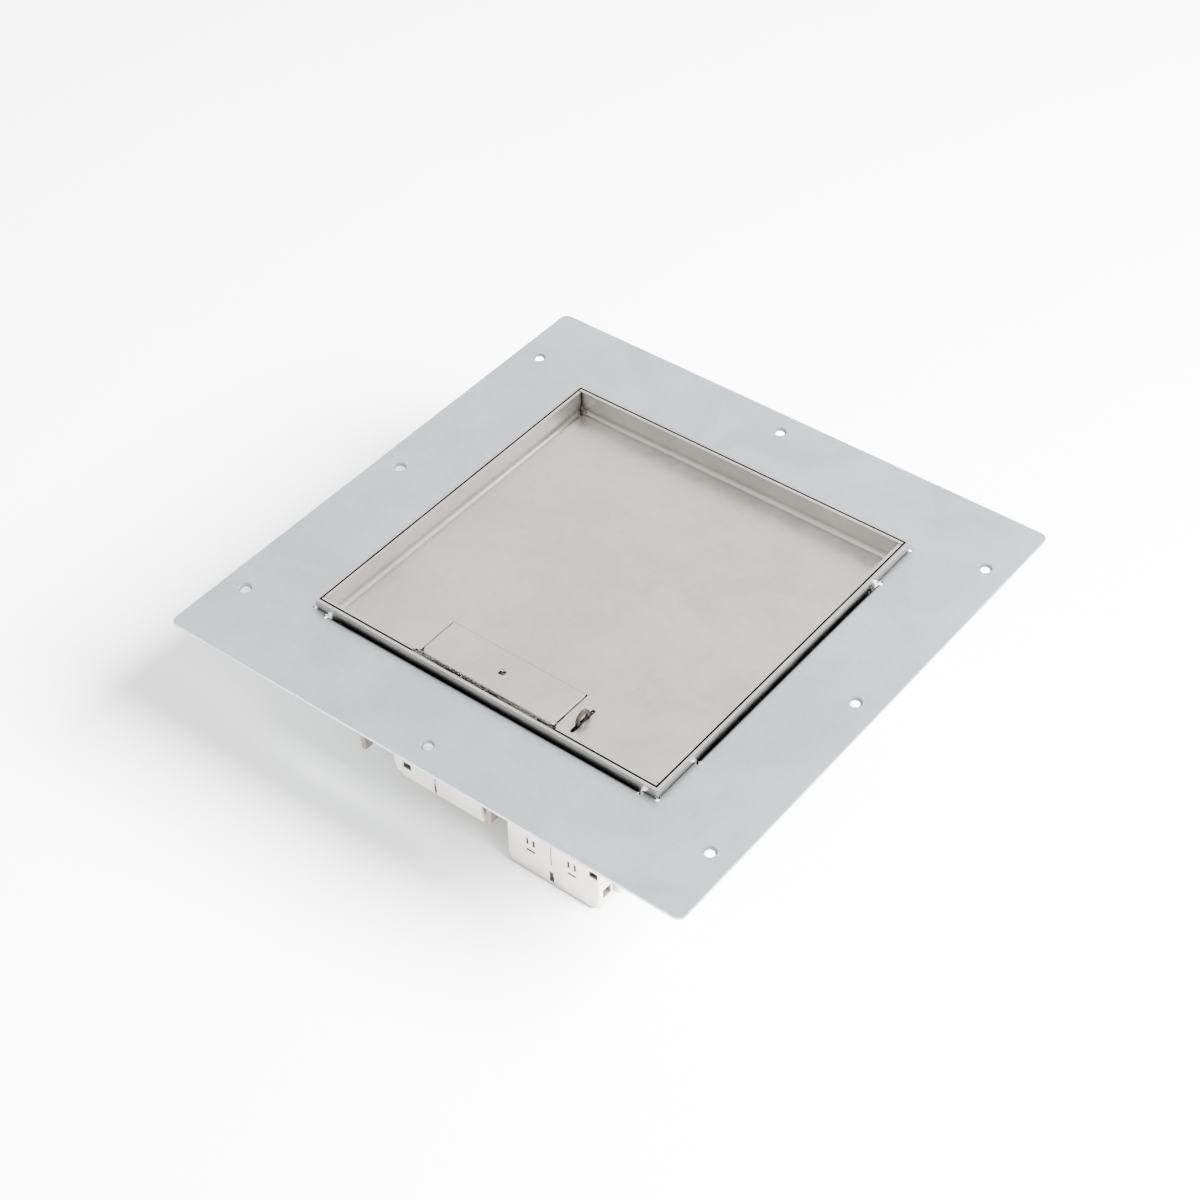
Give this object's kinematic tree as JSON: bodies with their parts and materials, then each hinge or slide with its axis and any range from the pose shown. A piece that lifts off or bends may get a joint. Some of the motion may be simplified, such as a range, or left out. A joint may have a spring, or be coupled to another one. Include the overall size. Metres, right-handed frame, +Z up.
{
  "type": "floor socket box",
  "caption": "Square floor box with a screwed mounting plate, a hinged tray lid for the floor covering, a sprung cable flap and a ring latch over earthed sockets.",
  "frame": {"origin": "centre of the bounding box at the underside of the socket units", "axes": "+Z up out of the floor, +Y towards the lid's hinge, cable outlet at -Y, +X to the right seen from the outlet"},
  "size_m": [0.3, 0.3, 0.1125],
  "materials": {
    "zinc_steel": "bright zinc plated sheet steel with a faint mottle",
    "stainless": "dull rolled stainless sheet with smudged handling marks",
    "ring_steel": "darkened stainless steel",
    "fastener": "zinc plated steel",
    "unit_plastic": "fine moulded light grey thermoplastic",
    "face_plastic": "smooth moulded light grey thermoplastic",
    "dark_plastic": "moulded brown grey polyamide",
    "brass": "bright brass",
    "spring_steel": "nickel plated spring steel"
  },
  "bodies": {
    "housing": {"cable_clamp_north_east": "dark_plastic", "cable_clamp_north_mid": "dark_plastic", "cable_clamp_south_mid": "dark_plastic", "cable_clamp_south_west": "dark_plastic", "carrier_hanger_north_east": "zinc_steel", "carrier_hanger_north_west": "zinc_steel", "carrier_hanger_south_east": "zinc_steel", "carrier_hanger_south_west": "zinc_steel", "earth_clip_north_east": "spring_steel", "earth_clip_north_west": "spring_steel", "earth_clip_south_east": "spring_steel", "earth_clip_south_west": "spring_steel", "earth_tag": "stainless", "face_screw_north_east": "fastener", "face_screw_north_west": "fastener", "face_screw_south_east": "fastener", "face_screw_south_west": "fastener", "frame_nuts": "fastener", "frame_screws": "fastener", "frame_spacers": "zinc_steel", "hanger_nuts": "fastener", "hanger_screws": "fastener", "lid_frame": "stainless", "lid_support_east": "stainless", "lid_support_south_east": "stainless", "lid_support_south_west": "stainless", "lid_support_west": "stainless", "mounting_plate": "zinc_steel", "pin_sleeves_north_east": "brass", "pin_sleeves_north_west": "brass", "pin_sleeves_south_east": "brass", "pin_sleeves_south_west": "brass", "socket_base_north_east": "unit_plastic", "socket_base_north_west": "unit_plastic", "socket_base_south_east": "unit_plastic", "socket_base_south_west": "unit_plastic", "socket_carrier": "zinc_steel", "socket_face_north_east": "face_plastic", "socket_face_north_west": "face_plastic", "socket_face_south_east": "face_plastic", "socket_face_south_west": "face_plastic"},
    "lid": {"lid_tray": "stainless", "lid_pivot_west": "stainless", "lid_pivot_east": "stainless", "tray_hinge_leaf": "stainless", "flap_hinge_pin": "stainless", "latch_guide_front": "stainless", "latch_guide_rear": "stainless", "flap_spring": "spring_steel"},
    "flap": {"cable_flap": "stainless", "flap_stop_strip": "stainless", "flap_hinge_leaf": "stainless"},
    "latch": {"latch_bolt": "stainless", "latch_ring": "ring_steel"}
  },
  "joints": [
    {"name": "lid_hinge", "type": "hinge", "parent": "housing", "child": "lid", "pos_m": [0, 0.091, 0.109], "axis": [-1, 0, 0], "range_deg": [0, 120]},
    {"name": "flap_hinge", "type": "hinge", "parent": "lid", "child": "flap", "pos_m": [0, -0.06413, 0.0963], "axis": [1, 0, 0], "range_deg": [0, 85], "stiffness_Nm_per_rad": 0.005, "springref_deg": -114.59, "deforming": ["flap_spring"]},
    {"name": "latch_slide", "type": "slide", "parent": "lid", "child": "latch", "axis": [0, -1, 0], "range_m": [-0.003, 0.003]}
  ]
}
